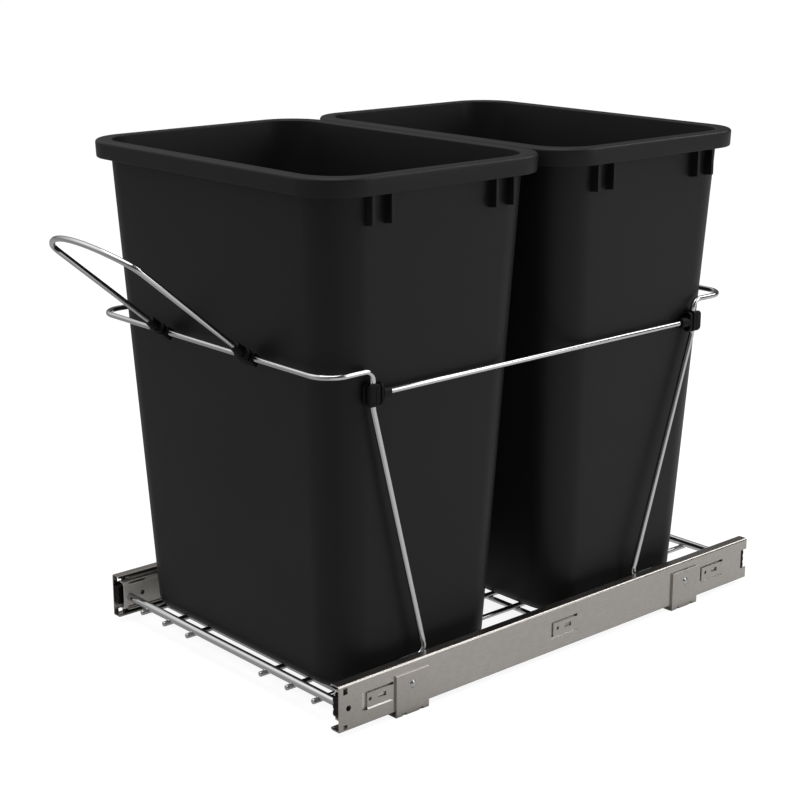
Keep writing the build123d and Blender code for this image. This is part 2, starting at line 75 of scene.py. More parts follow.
NOISE_LOW, NOISE_HIGH = 0.3, 0.7  # most of a noise pattern lies between these
NOISE_SUM_LOW, NOISE_SUM_HIGH = 0.7, 1.3  # and most of the sum of two between these
ARC_STEP = 6.0  # degrees of a wire's bend between two rings
LOG = logging.getLogger("bin_unit")


class Opposite(Enum):
    """One of two opposite places, with its sign along an axis."""

    @property
    def word(self) -> str:
        """Name as the CAD nodes spell it."""
        return self.name.lower()


class Side(Opposite):
    """Hand of a paired piece, with its sign along X."""

    RIGHT = 1
    LEFT = -1


class End(Opposite):
    """End of the unit, with its sign along Y."""

    FRONT = -1
    REAR = 1


def linear(hex_colour: str) -> tuple[float, float, float, float]:
    """Turn an sRGB hex colour into linear RGBA.

    Args:
        hex_colour: Six hex digits with a leading hash.

    Returns:
        Linear red, green and blue with an alpha of one.
    """
    parts = [int(hex_colour[i : i + 2], 16) / 255 for i in (1, 3, 5)]
    bent = [p / 12.92 if p <= 0.04045 else ((p + 0.055) / 1.055) ** 2.4 for p in parts]
    return (bent[0], bent[1], bent[2], 1.0)


def per_metre(size_mm: float) -> float:
    """Pattern scale that gives a feature of this size on Object coordinates."""
    return 1 / (size_mm * MM)


def add_node(tree: bpy.types.NodeTree, kind: str, inputs: dict[Any, Any], **settings: Any) -> bpy.types.Node:
    """Add a node with its settings, its constants and its links.

    Args:
        tree: Node tree to add to.
        kind: Blender's name of the node type.
        inputs: Socket name or number, with a constant or the socket that feeds it.
        settings: Attributes of the node.

    Returns:
        The new node.
    """
    made = tree.nodes.new(kind)
    for name, value in settings.items():
        setattr(made, name, value)
    for key, value in inputs.items():
        if isinstance(value, bpy.types.NodeSocket):
            tree.links.new(value, made.inputs[key])
        else:
            made.inputs[key].default_value = value
    return made


def new_material(name: str) -> tuple[bpy.types.Material, bpy.types.NodeTree, bpy.types.NodeSocket]:
    """Start an empty material.

    Args:
        name: Name of the material.

    Returns:
        The material, its tree and the surface socket of its output.
    """
    material = bpy.data.materials.new(name)
    material.use_nodes = True
    tree = material.node_tree
    tree.nodes.clear()
    output = add_node(tree, "ShaderNodeOutputMaterial", {})
    return material, tree, output.inputs["Surface"]


@dataclass(frozen=True)
class MouldedPlastic:
    """Injection-moulded polypropylene or nylon with a fine spark-eroded grain.

    The grain scatters the highlight into a soft sheen, and slow drifts of the sheen follow the flow
    of the melt. The true grain of about 0.2 mm is drawn coarser so that it shows. The sizes of grain
    and flow are in millimetres.
    """

    name: str
    colour: str
    roughness: float
    drift: float
    grain: float
    grain_depth: float
    flow: float
    mirror: float
    ior: float = 1.49
    bump: float = 0.6

    def material(self) -> bpy.types.Material:
        """Build the node material.

        Returns:
            The material.
        """
        material, tree, surface = new_material(self.name)
        place = add_node(tree, "ShaderNodeTexCoord", {}).outputs["Object"]
        grain = add_node(
            tree,
            "ShaderNodeTexNoise",
            {"Vector": place, "Scale": per_metre(self.grain), "Detail": 2.0, "Roughness": 0.6},
        )
        flow = add_node(
            tree,
            "ShaderNodeTexNoise",
            {"Vector": place, "Scale": per_metre(self.flow), "Detail": 3.0, "Roughness": 0.5},
        )
        sheen = add_node(
            tree,
            "ShaderNodeMapRange",
            {
                "Value": flow.outputs["Fac"],
                "From Min": NOISE_LOW,
                "From Max": NOISE_HIGH,
                "To Min": self.roughness - self.drift,
                "To Max": self.roughness + self.drift,
            },
        )
        bump = add_node(
            tree,
            "ShaderNodeBump",
            {"Height": grain.outputs["Fac"], "Strength": self.bump, "Distance": self.grain_depth * MM},
        )
        shader = add_node(
            tree,
            "ShaderNodeBsdfPrincipled",
            {
                "Base Color": linear(self.colour),
                "Roughness": sheen.outputs["Result"],
                "IOR": self.ior,
                "Specular IOR Level": self.mirror,
                "Normal": bump.outputs["Normal"],
            },
        )
        tree.links.new(shader.outputs["BSDF"], surface)
        return material


@dataclass(frozen=True)
class PlatedChrome:
    """Drawn steel wire under bright chrome plate.

    The plate mirrors the studio softly, and the drawn wire below makes its haze a little uneven, in
    ripples of a few millimetres.
    """

    name: str
    colour: str
    roughness: float
    drift: float
    ripple: float

    def material(self) -> bpy.types.Material:
        """Build the node material.

        Returns:
            The material.
        """
        material, tree, surface = new_material(self.name)
        place = add_node(tree, "ShaderNodeTexCoord", {}).outputs["Object"]
        ripple = add_node(
            tree,
            "ShaderNodeTexNoise",
            {"Vector": place, "Scale": per_metre(self.ripple), "Detail": 2.0, "Roughness": 0.5},
        )
        haze = add_node(
            tree,
            "ShaderNodeMapRange",
            {
                "Value": ripple.outputs["Fac"],
                "From Min": NOISE_LOW,
                "From Max": NOISE_HIGH,
                "To Min": self.roughness - self.drift,
                "To Max": self.roughness + self.drift,
            },
        )
        shader = add_node(
            tree,
            "ShaderNodeBsdfPrincipled",
            {
                "Base Color": linear(self.colour),
                "Metallic": 1.0,
                "Roughness": haze.outputs["Result"],
            },
        )
        tree.links.new(shader.outputs["BSDF"], surface)
        return material


@dataclass(frozen=True)
class RolledZinc:
    """Cold-rolled steel strip under clear zinc plate.

    Rolling leaves fine streaks along the strip, and the zinc a faint cloudiness a few millimetres wide.
    The matt crystals of the zinc scatter part of the light, so the plate is not wholly metallic. The
    sizes of streak and cloud are in millimetres.
    """

    name: str
    dark: str
    light: str
    metal: float
    roughness: float
    drift: float
    streak: float
    streak_length: float
    cloud: float
    bump: float = 0.1
    bump_depth: float = 0.02

    def material(self) -> bpy.types.Material:
        """Build the node material.

        Returns:
            The material.
        """
        material, tree, surface = new_material(self.name)
        place = add_node(tree, "ShaderNodeTexCoord", {}).outputs["Object"]
        stretch = self.streak / self.streak_length
        along = add_node(tree, "ShaderNodeMapping", {"Vector": place, "Scale": (1.0, stretch, 1.0)})
        streaks = add_node(
            tree,
            "ShaderNodeTexNoise",
            {"Vector": along.outputs["Vector"], "Scale": per_metre(self.streak), "Detail": 2.0},
        )
        clouds = add_node(
            tree,
            "ShaderNodeTexNoise",
            {"Vector": place, "Scale": per_metre(self.cloud), "Detail": 4.0, "Roughness": 0.6},
        )
        both = add_node(
            tree,
            "ShaderNodeMath",
            {0: streaks.outputs["Fac"], 1: clouds.outputs["Fac"]},
            operation="ADD",
        )
        share = add_node(
            tree,
            "ShaderNodeMapRange",
            {"Value": both.outputs["Value"], "From Min": NOISE_SUM_LOW, "From Max": NOISE_SUM_HIGH},
        )
        tint = add_node(
            tree,
            "ShaderNodeMix",
            {"Factor": share.outputs["Result"], 6: linear(self.dark), 7: linear(self.light)},
            data_type="RGBA",
        )
        haze = add_node(
            tree,
            "ShaderNodeMapRange",
            {
                "Value": streaks.outputs["Fac"],
                "From Min": NOISE_LOW,
                "From Max": NOISE_HIGH,
                "To Min": self.roughness - self.drift,
                "To Max": self.roughness + self.drift,
            },
        )
        bump = add_node(
            tree,
            "ShaderNodeBump",
            {"Height": streaks.outputs["Fac"], "Strength": self.bump, "Distance": self.bump_depth * MM},
        )
        shader = add_node(
            tree,
            "ShaderNodeBsdfPrincipled",
            {
                "Base Color": tint.outputs[2],
                "Metallic": self.metal,
                "Roughness": haze.outputs["Result"],
                "Normal": bump.outputs["Normal"],
            },
        )
        tree.links.new(shader.outputs["BSDF"], surface)
        return material


BIN_POLYPROPYLENE = MouldedPlastic(
    name="black_moulded_polypropylene",
    colour="#161616",
    roughness=0.44,
    drift=0.04,
    grain=0.9,
    grain_depth=0.03,
    flow=120.0,
    mirror=0.155,
)
CLIP_NYLON = MouldedPlastic(
    name="black_moulded_nylon",
    colour="#080808",
    roughness=0.5,
    drift=0.05,
    grain=0.6,
    grain_depth=0.02,
    flow=8.0,
    mirror=0.12,
)
WIRE_CHROME = PlatedChrome(
    name="bright_chrome_plate", colour="#bbbbbc", roughness=0.13, drift=0.02, ripple=5.0
)
BALL_STEEL = PlatedChrome(
    name="polished_bearing_steel", colour="#c9c9ca", roughness=0.08, drift=0.02, ripple=1.0
)
SLIDE_ZINC = RolledZinc(
    name="zinc_plated_strip",
    dark="#a5a19c",
    light="#aeaaa6",
    metal=0.98,
    roughness=0.25,
    drift=0.03,
    streak=0.5,
    streak_length=40.0,
    cloud=6.0,
)
# Painted light: the middle and drawer members take a lighter, mostly matt copy of the slide zinc, which
# stands in for light reaching into the channels.
CHANNEL_ZINC_PAINTED_LIGHT = RolledZinc(
    name="zinc_plated_channel",
    dark="#c8c4be",
    light="#d2cec9",
    metal=0.35,
    roughness=0.4,
    drift=0.03,
    streak=0.5,
    streak_length=40.0,
    cloud=6.0,
)
BRACKET_ZINC = RolledZinc(
    name="zinc_plated_bracket",
    dark="#a39f99",
    light="#aca8a3",
    metal=0.95,
    roughness=0.3,
    drift=0.03,
    streak=0.6,
    streak_length=12.0,
    cloud=5.0,
)
RIVET_ZINC = RolledZinc(
    name="zinc_plated_rivet",
    dark="#a6a6a8",
    light="#b2b2b4",
    metal=0.9,
    roughness=0.22,
    drift=0.03,
    streak=0.5,
    streak_length=2.0,
    cloud=2.0,
)
CAGE_STRIP = RolledZinc(
    name="plain_cage_strip",
    dark="#8d8a86",
    light="#a5a29e",
    metal=0.8,
    roughness=0.35,
    drift=0.05,
    streak=0.4,
    streak_length=20.0,
    cloud=4.0,
)


@dataclass
class Skin:
    """Closed surface: vertices in millimetres and polygons as lists of vertex numbers."""

    vertices: np.ndarray
    faces: list[list[int]]


def wrap_rings(rings: np.ndarray) -> Skin:
    """Skin a stack of rings with four-sided faces and close both ends with one face each.

    A face joins neighbours j and j + 1 of ring i to the same places on ring i + 1, so it looks outwards
    when the rings run anticlockwise about the way they are stacked.

    Args:
        rings: Array of shape (rings, points, 3).

    Returns:
        The closed surface.
    """
    count, around = rings.shape[:2]
    start = np.arange(count - 1)[:, None] * around
    here = np.arange(around)[None, :]
    after = (here + 1) % around
    quads = np.stack([start + here, start + after, start + around + after, start + around + here], -1)
    first = list(range(around - 1, -1, -1))
    last = list(range((count - 1) * around, count * around))
    return Skin(rings.reshape(-1, 3), quads.reshape(-1, 4).tolist() + [first, last])


def join_skins(skins: Sequence[Skin]) -> Skin:
    """Put several closed surfaces into one.

    Args:
        skins: The surfaces.

    Returns:
        One surface that holds them all.
    """
    starts = np.cumsum([0] + [len(s.vertices) for s in skins])
    faces = [[v + int(start) for v in face] for s, start in zip(skins, starts) for face in s.faces]
    return Skin(np.concatenate([s.vertices for s in skins]), faces)


def rounded_outline(
    half_a: np.ndarray, half_b: np.ndarray, radius: np.ndarray, arc_steps: int, side_steps: int
) -> np.ndarray:
    """Rounded rectangles: a quarter circle about each corner's centre, joined by straight sides.

    Args:
        half_a: Half widths, one for each outline.
        half_b: Half depths.
        radius: Corner radii.
        arc_steps: Steps in a quarter circle.
        side_steps: Points added along each straight side.

    Returns:
        Array of shape (outlines, points, 2), anticlockwise.
    """
    quarter = np.linspace(0, math.pi / 2, arc_steps + 1)
    turn = quarter[None, :] + np.arange(4)[:, None] * math.pi / 2
    sign_a = np.array([1, -1, -1, 1])
    sign_b = np.array([1, 1, -1, -1])
    centre_a = (half_a - radius)[:, None] * sign_a
    centre_b = (half_b - radius)[:, None] * sign_b
    arc_a = centre_a[..., None] + radius[:, None, None] * np.cos(turn)
    arc_b = centre_b[..., None] + radius[:, None, None] * np.sin(turn)
    arcs = np.stack([arc_a, arc_b], -1)
    share = np.linspace(0, 1, side_steps + 2)[1:-1][:, None]
    leave = arcs[:, :, -1:, :]
    reach = np.roll(arcs[:, :, :1, :], -1, axis=1)
    sides = leave + (reach - leave) * share
    return np.concatenate([arcs, sides], axis=2).reshape(len(half_a), -1, 2)


def unit(vectors: np.ndarray) -> np.ndarray:
    """Scale vectors to length one along the last axis."""
    return vectors / np.linalg.norm(vectors, axis=-1, keepdims=True)


def bent_path(corners: Sequence[Sequence[float]], bends: Sequence[float]) -> np.ndarray:
    """Centre line of a bent wire: straight runs joined by arcs that touch both runs.

    An arc's centre lies on the bisector of its corner, radius / sin(half the corner's angle) away.

    Args:
        corners: Points where the straight runs would meet, with both ends.
        bends: Bend radius at each inner corner.

    Returns:
        Array of points of shape (n, 3).
    """
    points = np.array(corners, float)
    pieces = [points[:1]]
    for before, corner, after, bend in zip(points[:-2], points[1:-1], points[2:], bends):
        back = unit(before - corner)
        ahead = unit(after - corner)
        half = math.acos(float(back @ ahead)) / 2
        centre = corner + unit(back + ahead) * bend / math.sin(half)
        first = unit(corner + back * bend / math.tan(half) - centre)
        second = -back
        sweep = math.pi - 2 * half
        angle = np.linspace(0, sweep, max(4, round(math.degrees(sweep) / ARC_STEP)))[:, None]
        pieces.append(centre + bend * (np.cos(angle) * first + np.sin(angle) * second))
    pieces.append(points[-1:])
    return np.concatenate(pieces)


def wire_skin(path: np.ndarray, diameter: float, edge: float, around: int = 32) -> Skin:
    """Round wire along a path with rounded end edges.

    Each ring is a circle square to the path. At an end, ring k stands edge * (1 - cos) in from the tip
    and is edge * (1 - sin) smaller, so the edge is a quarter circle. A slanting guide, which no wire
    runs along, keeps the rings from turning about the path.

    Args:
        path: Centre line of shape (n, 3).
        diameter: Wire diameter.
        edge: Radius of the end edges.
        around: Points in a ring.

    Returns:
        The closed surface.
    """
    runs = unit(np.diff(path, axis=0))
    tangent = unit(np.concatenate([runs[:1], runs[:-1] + runs[1:], runs[-1:]]))
    quarter = np.linspace(0, math.pi / 2, 5)
    inset = edge * (1 - np.cos(quarter))[:, None]
    small = diameter / 2 - edge * (1 - np.sin(quarter))
    first = path[0] + tangent[0] * inset
    last = (path[-1] - tangent[-1] * inset)[::-1]
    spine = np.concatenate([first, path[1:-1], last])
    radius = np.concatenate([small, np.full(len(path) - 2, diameter / 2), small[::-1]])
    lead = np.repeat(tangent[:1], len(quarter), axis=0)
    tail = np.repeat(tangent[-1:], len(quarter), axis=0)
    along = np.concatenate([lead, tangent[1:-1], tail])
    guide = unit(np.array([0.62, 0.48, 0.62]))
    across = unit(guide - (along @ guide)[:, None] * along)
    over = np.cross(along, across)
    turn = np.linspace(0, 2 * math.pi, around, endpoint=False)
    circle = np.cos(turn)[None, :, None] * across[:, None] + np.sin(turn)[None, :, None] * over[:, None]
    return wrap_rings(spine[:, None] + radius[:, None, None] * circle)


def make_piece(name: str, skin: Skin, material: bpy.types.Material, sharp: float = 35.0) -> bpy.types.Object:
    """Make an object of a surface, shaded smooth except along sharp edges.

    Args:
        name: Name of the piece.
        skin: Surface in millimetres.
        material: Finish of the piece.
        sharp: Angle in degrees past which an edge stays crisp.

    Returns:
        The linked object.
    """
    mesh = bpy.data.meshes.new(name)
    mesh.from_pydata((skin.vertices * MM).tolist(), [], skin.faces)
    mesh.materials.append(material)
    mesh.shade_smooth()
    mesh.set_sharp_from_angle(angle=math.radians(sharp))
    mesh.validate()
    made = bpy.data.objects.new(name, mesh)
    bpy.context.scene.collection.objects.link(made)
    return made


def settle(piece: bpy.types.Object, body: str, slot: str, *nodes: str) -> None:
    """Put a piece on its body in place of its CAD nodes and log it.

    Args:
        piece: The object.
        body: CAD body that it rides on.
        slot: Material slot of the record; not used.
        nodes: CAD nodes that it stands for.
    """
    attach(piece, body)
    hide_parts(*nodes)
    LOG.info("%s rides on %s, %d faces", piece.name, body, len(piece.data.polygons))


@dataclass
class Bin:
    """Tapered bin with a turned-down rim and gussets under it."""

    end: End
    level: float = 25.8
    width: float = 301.2
    depth: float = 193.6
    corner: float = 35.0
    width_gain: float = 0.1047
    depth_gain: float = 0.1005
    corner_gain: float = 0.0113
    wall: float = 2.4
    foot: float = 13.0
    rim_width: float = 370.6
    rim_depth: float = 262.4
    rim_corner: float = 45.0
    rim_height: float = 16.2
    rim_draft: float = 1.4
    rim_plate: float = 2.6
    rim_edge: float = 3.0
    mouth_edge: float = 1.4
    gusset_y: tuple[float, ...] = (-80.3, -59.5, 59.5, 80.3)
    gusset_sheet: float = 3.0
    gusset_drop: float = 26.0
    gusset_rise: float = 1.2
    gusset_edge: float = 181.4
    gusset_ease: float = 0.3

    def __post_init__(self) -> None:
        """Read the bin's place from its CAD node."""
        low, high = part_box(self.node)
        self.centre_y = (low.y + high.y) / 2 / MM
        self.bottom = low.z / MM
        self.top = high.z / MM

    @property
    def node(self) -> str:
        """CAD node and body of this bin."""
        return f"{self.end.word}_bin"

    def body_rows(self, z: np.ndarray, inset: np.ndarray) -> np.ndarray:
        """Level sections of the tapered body: each size grows in step with the height.

        Args:
            z: Heights.
            inset: How far each section lies inside the outer face.

        Returns:
            Rows of half width, half depth, corner radius and height.
        """
        rise = z - self.level
        half_width = (self.width + self.width_gain * rise) / 2 - inset
        half_depth = (self.depth + self.depth_gain * rise) / 2 - inset
        radius = self.corner + self.corner_gain * rise - inset
        return np.stack([half_width, half_depth, radius, z], -1)

    def rim_rows(self, z: np.ndarray, inset: np.ndarray) -> np.ndarray:
        """Level sections of the rim, which draws in slightly downwards.

        Args:
            z: Heights.
            inset: How far each section lies inside the rim's outer face.

        Returns:
            Rows of half width, half depth, corner radius and height.
        """
        drop = self.rim_draft * (self.top - z) / self.rim_height
        half_width = (self.rim_width - drop) / 2 - inset
        half_depth = (self.rim_depth - drop) / 2 - inset
        radius = self.rim_corner - drop / 2 - inset
        return np.stack([half_width, half_depth, radius, z], -1)

    def profile(self) -> np.ndarray:
        """Wall section from under the foot, up the outside, round the rim and down the inside.

        Returns:
            Rows of half width, half depth, corner radius and height.
        """
        quarter = np.linspace(0, math.pi / 2, 9)
        half_turn = np.linspace(0, math.pi, 9)
        climb = np.linspace(0, 1, 12)[1:]
        even = np.zeros_like(climb)
        under = self.top - self.rim_plate
        skirt = self.top - self.rim_height
        lip = self.wall / 2
        floor = self.bottom + self.wall
        inner_foot = self.foot - self.wall
        outside_low = self.bottom + self.foot
        inside_low = floor + inner_foot
        mouth = self.top - self.mouth_edge
        flat = np.zeros(1)
        return np.concatenate(
            [
                self.body_rows(outside_low - self.foot * np.cos(quarter), self.foot * (1 - np.sin(quarter))),
                self.body_rows(outside_low + (under - outside_low) * climb, even),
                self.rim_rows(flat + under, flat + self.wall),
                self.rim_rows(skirt + lip * (1 - np.sin(half_turn)), lip * (1 + np.cos(half_turn))),
                self.rim_rows(
                    self.top - self.rim_edge * (1 - np.sin(quarter)), self.rim_edge * (1 - np.cos(quarter))
                ),
                self.body_rows(
                    self.top - self.mouth_edge * (1 - np.cos(quarter)),
                    self.wall - self.mouth_edge * (1 - np.sin(quarter)),
                ),
                self.body_rows(mouth + (inside_low - mouth) * climb, even + self.wall),
                self.body_rows(
                    floor + inner_foot * (1 - np.sin(quarter[1:])),
                    self.wall + inner_foot * (1 - np.cos(quarter[1:])),
                ),
            ]
        )

    def shell(self) -> Skin:
        """Wall, rim and floor: the wall section's rounded rectangles stacked at their heights.

        Returns:
            The closed surface.
        """
        rows = self.profile()
        outline = rounded_outline(rows[:, 0], rows[:, 1], rows[:, 2], arc_steps=16, side_steps=7)
        level = np.broadcast_to(rows[:, None, 3:], outline.shape[:2] + (1,))
        rings = np.concatenate([outline, level], -1)
        rings[..., 1] += self.centre_y
        return wrap_rings(rings)

    def gusset(self, side: Side, y: float) -> Skin:
        """One gusset: a four-cornered plate under the rim with its two broad faces' edges eased.

        Args:
            side: Face of the bin.
            y: Place along the face, from the bin's centre.

        Returns:
            The closed surface.
        """
        skirt_low = self.top - self.rim_height
        low = skirt_low - self.gusset_drop
        under = self.top - self.rim_plate / 2
        sunk = self.wall / 3
        wall_low, wall_high = self.body_rows(np.array([low, under]), np.zeros(2))[:, 0] - sunk
        edge = self.gusset_edge
        plate = np.array([(wall_low, low), (edge, low + self.gusset_rise), (edge, under), (wall_high, under)])
        ease = self.gusset_ease
        towards = unit(plate.mean(axis=0) - plate)
        half = self.gusset_sheet / 2
        shifts = np.array([-half, -half + ease, half - ease, half])
        insets = np.array([ease, 0, 0, ease])
        flat = plate[None] + towards[None] * insets[:, None, None]
        across = np.broadcast_to((shifts + y + self.centre_y)[:, None], flat.shape[:2])
        rings = np.stack([side.value * flat[..., 0], across, flat[..., 1]], -1)
        if side is Side.RIGHT:
            rings = rings[:, ::-1]
        return wrap_rings(rings)

    def dress(self, plastic: bpy.types.Material) -> None:
        """Make the bin and put it in place of its CAD node.

        Args:
            plastic: Finish of the bin.
        """
        gussets = [self.gusset(side, y) for side in Side for y in self.gusset_y]
        piece = make_piece(f"{self.end.word}_bin_shell", join_skins([self.shell()] + gussets), plastic)
        settle(piece, self.node, "bin_plastic", self.node)


@dataclass
class Clip:
    """Snap clip: two jaws round one wire, then a neck, a flange and a cone that takes a wire's end."""

    origin: tuple[float, float, float]
    socket: tuple[float, float, float]
    wire: tuple[float, float, float]
    half_thick: float = 5.0
    half_long: float = 10.0
    back: float = 8.2
    back_corner: float = 4.2
    back_edge: float = 1.2
    slit: float = 1.4
    jaw_front: float = 3.6
    flange_near: float = 5.9
    flange_far: float = 8.9
    tip: float = 18.4
    cone_wide: float = 5.3
    cone_slim: float = 4.4
    ease: float = 0.5
    step: float = 0.05
    jaw_corner: float = 2.0
    block_back: float = -1.0
    block_corner: float = 2.2
    block_eased: float = 1.8
    neck_thick: float = 3.8
    neck_long: float = 8.0
    neck_corner: float = 1.5
    roundness: float = 0.96

    def place(self, rows: np.ndarray, shift: float) -> Skin:
        """Carry rounded rectangles along the socket's axis.

        Args:
            rows: Rows of distance along the axis, half thickness, half length and corner radius.
            shift: Offset across the axis and the gripped wire.

        Returns:
            The closed surface.
        """
        ahead = np.array(self.socket)
        long = np.array(self.wire)
        thick = np.cross(long, ahead)
        outline = rounded_outline(rows[:, 1], rows[:, 2], rows[:, 3], arc_steps=8, side_steps=0)
        rings = (
            np.array(self.origin)
            + rows[:, None, :1] * ahead
            + (outline[..., :1] + shift) * thick
            + outline[..., 1:] * long
        )
        return wrap_rings(rings)

    def jaw(self, sign: int) -> Skin:
        """One jaw beside the slit, with wide round back corners and eased back edges.

        At the back both the length and the thickness grow as a quarter circle does, each to its own
        radius.

        Args:
            sign: Side of the slit, 1 or -1.

        Returns:
            The closed surface.
        """
        quarter = np.linspace(0, math.pi / 2, 7)
        half = (self.half_thick - self.slit / 2) / 2
        lack = np.append(1 - np.sin(quarter), 0)
        along = np.append(self.back_corner * (1 - np.cos(quarter)) - self.back, 0)
        edge = self.back_edge * lack
        long = self.half_long - self.back_corner * lack
        rows = np.stack([along, half - edge, long, self.jaw_corner - edge], -1)
        return self.place(rows, sign * (self.slit / 2 + half))

    def front(self) -> Skin:
        """Block in front of the wire, neck, stadium flange and cone in one.

        Rounded rectangles follow each other along the socket's axis. A corner radius close to half the
        width makes a stadium, and close to both halves a circle.

        Returns:
            The closed surface.
        """
        ease, step = self.ease, self.step
        thick, long = self.half_thick, self.half_long
        neck = (self.neck_thick, self.neck_long, self.neck_corner)
        stadium = self.roundness * thick
        near, far = self.flange_near, self.flange_far
        wide, slim, end = self.cone_wide, self.cone_slim, self.cone_slim - ease
        rows = [
            (self.block_back, thick - ease, long - ease, self.block_eased),
            (self.block_back + ease, thick, long, self.block_corner),
            (self.jaw_front - ease, thick, long, self.block_corner),
            (self.jaw_front, thick - ease, long - ease, self.block_eased),
            (self.jaw_front + step, *neck),
            (near - step, *neck),
            (near, thick - ease, long - ease, stadium - ease),
            (near + ease, thick, long, stadium),
            (far - ease, thick, long, stadium),
            (far, thick - ease, long - ease, stadium - ease),
            (far + step, wide, wide, self.roundness * wide),
            (self.tip - ease, slim, slim, self.roundness * slim),
            (self.tip, end, end, self.roundness * end),
        ]
        return self.place(np.array(rows), 0.0)

    def skin(self) -> Skin:
        """Both jaws and the front in one surface."""
        return join_skins([self.jaw(-1), self.jaw(1), self.front()])


@dataclass
class WireCarrier:
    """Chromed wire frame that holds the bins, with the clips that tie its hoops to the side rails."""

    wire: float = 5.2
    rod: float = 8.0
    end_edge: float = 0.9
    middle_y: float = -17.2
    rail_reach: float = 257.5
    leg_reach: float = 207.4
    foot_reach: float = 139.8
    foot_length: float = 32.0
    toe_length: float = 10.0
    rail_z: float = 320.1
    rail_half: float = 171.0
    knee_z: float = 286.8
    foot_x: float = 162.9
    foot_z: float = 44.7
    toe_z: float = 33.0
    side_rail_z: float = 299.3
    bends: tuple[float, ...] = (7.0, 8.0, 20.0, 9.0, 22.0)

    def hoop(self, end: End) -> Skin:
        """Hoop of one end: toe, foot, leg, return, rail and back down the other side in one wire.

        Args:
            end: End of the unit.

        Returns:
            The closed surface.
        """
        sign = end.value
        rail_y = self.middle_y + sign * self.rail_reach
        leg_y = self.middle_y + sign * self.leg_reach
        foot_y = self.middle_y + sign * self.foot_reach
        right = [
            (self.foot_x, foot_y + sign * (self.foot_length + self.toe_length), self.toe_z),
            (self.foot_x, foot_y + sign * self.foot_length, self.foot_z),
            (self.foot_x, foot_y, self.foot_z),
            (self.rail_half, leg_y, self.knee_z),
            (self.rail_half, leg_y, self.rail_z),
            (self.rail_half, rail_y, self.rail_z),
        ]
        left = [(-x, y, z) for x, y, z in reversed(right)]
        path = bent_path(right + left, self.bends + self.bends[::-1])
        return wire_skin(path, self.wire, self.end_edge)

    def straight(self, node: str, diameter: float, edge: float) -> Skin:
        """Straight wire along the longest side of a CAD node's box.

        Args:
            node: CAD node.
            diameter: Wire diameter.
            edge: Radius of the end edges.

        Returns:
            The closed surface.
        """
        low, high = (np.array(corner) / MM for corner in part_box(node))
        middle = (low + high) / 2
        axis = int(np.argmax(high - low))
        ends = np.stack([middle, middle])
        ends[:, axis] = low[axis], high[axis]
        return wire_skin(np.linspace(ends[0], ends[1], 5), diameter, edge)

    def straight_nodes(self) -> list[tuple[str, float]]:
        """List the CAD nodes that are straight wires.

        Returns:
            Their names and diameters.
        """
        nodes = [(f"{end.word}_rod", self.rod) for end in End]
        nodes += [(f"cross_wire_{number}", self.wire) for number in range(1, 5)]
        for side in Side:
            nodes += [(f"{side.word}_tray_wire_{number}", self.wire) for number in range(1, 4)]
            nodes.append((f"{side.word}_side_rail", self.wire))
        return nodes

    def leg_clip(self, side: Side, end: End) -> Clip:
        """Clip on a leg, its socket turned to the side rail."""
        origin = (side.value * self.rail_half, self.middle_y + end.value * self.leg_reach, self.side_rail_z)
        return Clip(origin, (0, -end.value, 0), (0, 0, 1))

    def dress(self, chrome: bpy.types.Material, nylon: bpy.types.Material) -> None:
        """Make the carrier's wires and clips.

        Args:
            chrome: Finish of the wires.
            nylon: Finish of the clips.
        """
        for end in End:
            node = f"{end.word}_hoop"
            settle(make_piece(f"{node}_wire", self.hoop(end), chrome), "carriage", "chrome_wire", node)
        for node, diameter in self.straight_nodes():
            piece = make_piece(f"{node}_round", self.straight(node, diameter, self.end_edge), chrome)
            settle(piece, "carriage", "chrome_wire", node)
        for side in Side:
            for end in End:
                node = f"{side.word}_{end.word}_clip"
                piece = make_piece(f"{node}_moulding", self.leg_clip(side, end).skin(), nylon)
                settle(piece, "carriage", "black_plastic", node)


